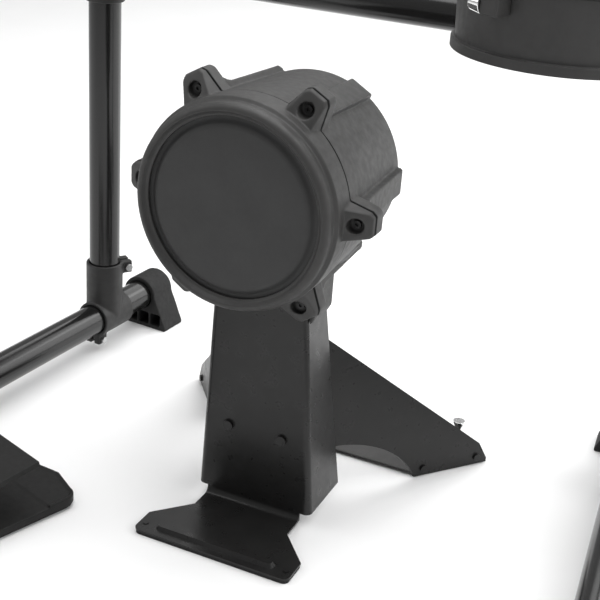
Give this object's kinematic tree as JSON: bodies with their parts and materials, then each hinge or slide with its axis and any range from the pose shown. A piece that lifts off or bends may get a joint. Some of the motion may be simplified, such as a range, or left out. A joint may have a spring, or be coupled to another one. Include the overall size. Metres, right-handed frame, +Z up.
{
  "type": "electronic drum kit",
  "caption": "Electronic drum kit: kick pad on a sheet-metal tower, tube rack with a cross bar, rod-mounted pad and hi-hat pedal. Heads press in, the pad swings and rolls, the pedal tips.",
  "frame": {"origin": "floor level, at the middle of the footprint and in the kick tower's plane of symmetry", "axes": "+X to the player's right along the cross bar, +Y away from the player, +Z up"},
  "size_m": [0.857, 0.7038, 0.579],
  "materials": {
    "moulded_black": "fine texture",
    "sheet_black": "satin powder coat",
    "plate_grey": "satin powder coat",
    "tube_black": "satin powder coat",
    "tee_black": "matte",
    "foot_rubber": "matte",
    "head_rubber": "smooth matte",
    "foam": "open cell",
    "plate_metal": "brushed",
    "inner_board": "matte",
    "sensor_brass": "bright",
    "bright_steel": "polished",
    "screw_black": "black zinc",
    "zinc_steel": "zinc plated"
  },
  "bodies": {
    "kit": {"tower_column": "sheet_black", "front_foot_rubber": "foot_rubber", "rear_brace": "sheet_black", "brace_bolts": "screw_black", "brace_nuts": "zinc_steel", "rear_base_plate": "plate_grey", "rear_foot_rubber": "foot_rubber", "wing_screws": "screw_black", "spur_nuts": "zinc_steel", "rear_shell": "moulded_black", "front_hoop": "moulded_black", "sensor_bridge": "inner_board", "lug_screws": "screw_black", "lug_inserts": "sensor_brass", "neck_screws": "screw_black", "output_jack": "inner_board", "jack_nut": "bright_steel", "cross_bar": "tube_black", "tee_bolts": "zinc_steel", "tee_nuts": "zinc_steel", "pad_clamp_front": "tee_black", "pad_clamp_rear": "tee_black", "pad_clamp_bolts": "zinc_steel", "pedal_base": "moulded_black", "pedal_sole": "foot_rubber", "pedal_pin": "zinc_steel", "pedal_spring": "zinc_steel", "left_floor_tube": "tube_black", "left_upright": "tube_black", "left_floor_tee": "tee_black", "left_bar_tee": "tee_black", "left_front_foot": "foot_rubber", "left_rear_foot": "foot_rubber", "right_floor_tube": "tube_black", "right_upright": "tube_black", "right_floor_tee": "tee_black", "right_bar_tee": "tee_black", "right_front_foot": "foot_rubber", "right_rear_foot": "foot_rubber"},
    "kick_head": {"playing_pad": "head_rubber", "trigger_plate": "plate_metal", "foam_ring": "foam", "piezo_sensor": "sensor_brass"},
    "front_spur_left": {"front_spur_left": "screw_black"},
    "front_spur_right": {"front_spur_right": "screw_black"},
    "rear_spur_left": {"rear_spur_left": "bright_steel"},
    "rear_spur_right": {"rear_spur_right": "bright_steel"},
    "arm": {"pad_arm": "bright_steel"},
    "clamp_screw": {"clamp_wing_screw": "screw_black"},
    "pad": {"pad_bracket": "moulded_black", "pad_shell": "moulded_black", "pad_rim": "head_rubber", "pad_jack_housing": "moulded_black", "pad_jack": "bright_steel"},
    "bracket_screw": {"pad_wing_screw": "screw_black"},
    "pad_face": {"pad_head": "head_rubber", "pad_plate": "plate_metal", "pad_foam": "foam", "pad_piezo": "sensor_brass"},
    "footboard": {"pedal_board": "sheet_black"}
  },
  "joints": [
    {"name": "kick_head_press", "type": "slide", "parent": "kit", "child": "kick_head", "axis": [0, 1, 0], "range_m": [0, 0.002], "stiffness_N_per_m": 6000, "springref_m": -0.0005},
    {"name": "front_spur_left_height", "type": "slide", "parent": "kit", "child": "front_spur_left", "axis": [0, 0, 1], "range_m": [0, 0.003]},
    {"name": "front_spur_right_height", "type": "slide", "parent": "kit", "child": "front_spur_right", "axis": [0, 0, 1], "range_m": [0, 0.003]},
    {"name": "rear_spur_left_height", "type": "slide", "parent": "kit", "child": "rear_spur_left", "axis": [0, 0, 1], "range_m": [0, 0.006]},
    {"name": "rear_spur_right_height", "type": "slide", "parent": "kit", "child": "rear_spur_right", "axis": [0, 0, 1], "range_m": [0, 0.006]},
    {"name": "arm_swing", "type": "hinge", "parent": "kit", "child": "arm", "pos_m": [0.228, 0.193, 0.495], "axis": [0, 0, 1], "range_deg": [-30, 30]},
    {"name": "clamp_screw_turn", "type": "hinge", "parent": "kit", "child": "clamp_screw", "pos_m": [0.2, 0.193, 0.495], "axis": [1, 0, 0], "continuous": true},
    {"name": "pad_roll", "type": "hinge", "parent": "arm", "child": "pad", "pos_m": [0.228, 0.165, 0.552], "axis": [0, 1, 0], "range_deg": [-20, 20]},
    {"name": "bracket_screw_turn", "type": "hinge", "parent": "pad", "child": "bracket_screw", "pos_m": [0.21, 0.165, 0.552], "axis": [1, 0, 0], "continuous": true},
    {"name": "pad_face_press", "type": "slide", "parent": "pad", "child": "pad_face", "axis": [0, 0, -1], "range_m": [0, 0.002], "stiffness_N_per_m": 8000, "springref_m": -0.002},
    {"name": "footboard_tip", "type": "hinge", "parent": "kit", "child": "footboard", "pos_m": [-0.27293, -0.2843, 0.031], "axis": [-0.9455, 0.3256, 0], "range_deg": [0, 10], "stiffness_Nm_per_rad": 4, "springref_deg": -14.32}
  ]
}
